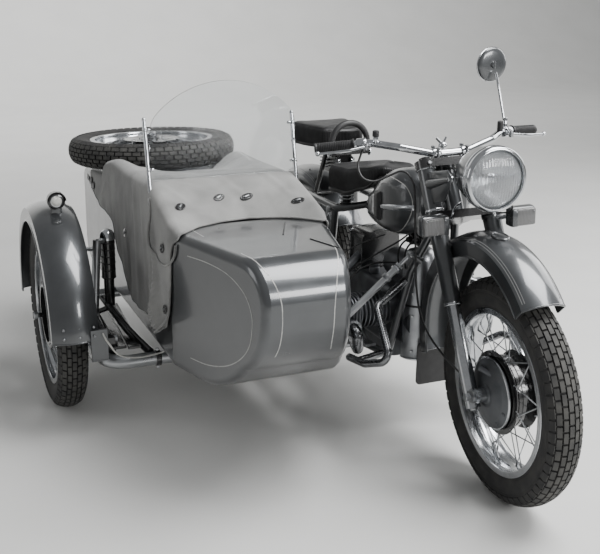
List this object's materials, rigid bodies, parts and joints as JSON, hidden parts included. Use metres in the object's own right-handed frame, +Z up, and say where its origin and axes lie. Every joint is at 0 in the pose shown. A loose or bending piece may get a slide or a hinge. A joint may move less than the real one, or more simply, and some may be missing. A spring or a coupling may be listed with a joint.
{
  "type": "motorcycle with sidecar",
  "caption": "Classic touring motorcycle with a flat-twin engine, wire wheels, sprung saddles and a canvas-covered sidecar with windscreen and spare wheel.",
  "frame": {"origin": "on the ground under the middle of the outfit's bounding box", "axes": "+Z up, +Y to the rear along the motorcycle, +X to the motorcycle's left, so the front wheel points to -Y and the sidecar is on -X"},
  "size_m": [1.6315, 2.529, 1.3164],
  "materials": {
    "alloy": "cast, dull",
    "canvas": "light grey canvas",
    "chrome": "polished",
    "clear": "clear sheet",
    "frame_paint": "black stove enamel",
    "lamp": "two-tone lamp",
    "lens": "fluted lamp glass",
    "paint": "satin metallic grey enamel",
    "rubber": "black",
    "steel": "bright",
    "tyre": "worn black rubber"
  },
  "bodies": {
    "machine": {"air_cleaner": "frame_paint", "canvas_cover": "canvas", "carburettors": "alloy", "crash_bars": "chrome", "cylinder_heads": "alloy", "cylinders": "alloy", "engine_block": "alloy", "exhausts": "chrome", "final_drive": "alloy", "foot_controls": "steel", "footrests": "rubber", "fuel_tank": "paint", "lamp_lead": "rubber", "main_frame": "frame_paint", "marker_lamp": "chrome", "pillion_handle": "rubber", "pillion_saddle": "rubber", "rear_dampers": "frame_paint", "rear_fender": "paint", "rider_saddle": "rubber", "saddle_brackets": "frame_paint", "sidecar_chassis": "steel", "sidecar_damper": "frame_paint", "sidecar_fender": "paint", "sidecar_struts": "chrome", "sidecar_swing_arm": "frame_paint", "sidecar_tub": "paint", "swing_arm": "frame_paint", "tail_lamp": "lamp", "tub_mounts": "rubber", "windscreen": "clear", "windscreen_posts": "chrome"},
    "steering": {"fork_yokes": "frame_paint", "fork_shrouds": "paint", "fork_sliders": "chrome", "front_brake_plate": "alloy", "front_fender": "paint", "mud_flap": "rubber", "handlebar": "chrome", "hand_controls": "steel", "headlamp": "chrome", "headlamp_lens": "lens", "turn_signals": "lamp", "mirror": "chrome", "control_cables": "rubber"},
    "front_wheel": {"front_tyre": "tyre", "front_wheel": "steel"},
    "rear_wheel": {"rear_tyre": "tyre", "rear_wheel": "steel"},
    "sidecar_wheel": {"sidecar_tyre": "tyre", "sidecar_wheel": "steel"},
    "stand": {"centre_stand": "frame_paint"},
    "boot": {"boot_lid": "paint", "spare_tyre": "tyre", "spare_wheel": "steel"}
  },
  "joints": [
    {"name": "steering", "type": "hinge", "parent": "machine", "child": "steering", "pos_m": [0.4075, -0.83325, 0.30533], "axis": [0, 0.454, 0.891], "range_deg": [-26.24, 33.76]},
    {"name": "front_wheel_spin", "type": "hinge", "parent": "steering", "child": "front_wheel", "pos_m": [0.40134, -0.91682, 0.34791], "axis": [0.9978, -0.0584, 0.0298], "continuous": true},
    {"name": "rear_wheel_spin", "type": "hinge", "parent": "machine", "child": "rear_wheel", "pos_m": [0.4075, 0.583, 0.348], "axis": [1, 0, 0], "continuous": true},
    {"name": "sidecar_wheel_spin", "type": "hinge", "parent": "machine", "child": "sidecar_wheel", "pos_m": [-0.7295, 0.33, 0.348], "axis": [1, 0, 0], "continuous": true},
    {"name": "centre_stand", "type": "hinge", "parent": "machine", "child": "stand", "pos_m": [0.4075, 0.113, 0.228], "axis": [-1, 0, 0], "range_deg": [0, 80], "stiffness_Nm_per_rad": 3, "springref_deg": -57.3},
    {"name": "boot_lid", "type": "hinge", "parent": "machine", "child": "boot", "pos_m": [-0.2025, 0.549, 0.766], "axis": [1, 0, 0], "range_deg": [0, 55]}
  ]
}
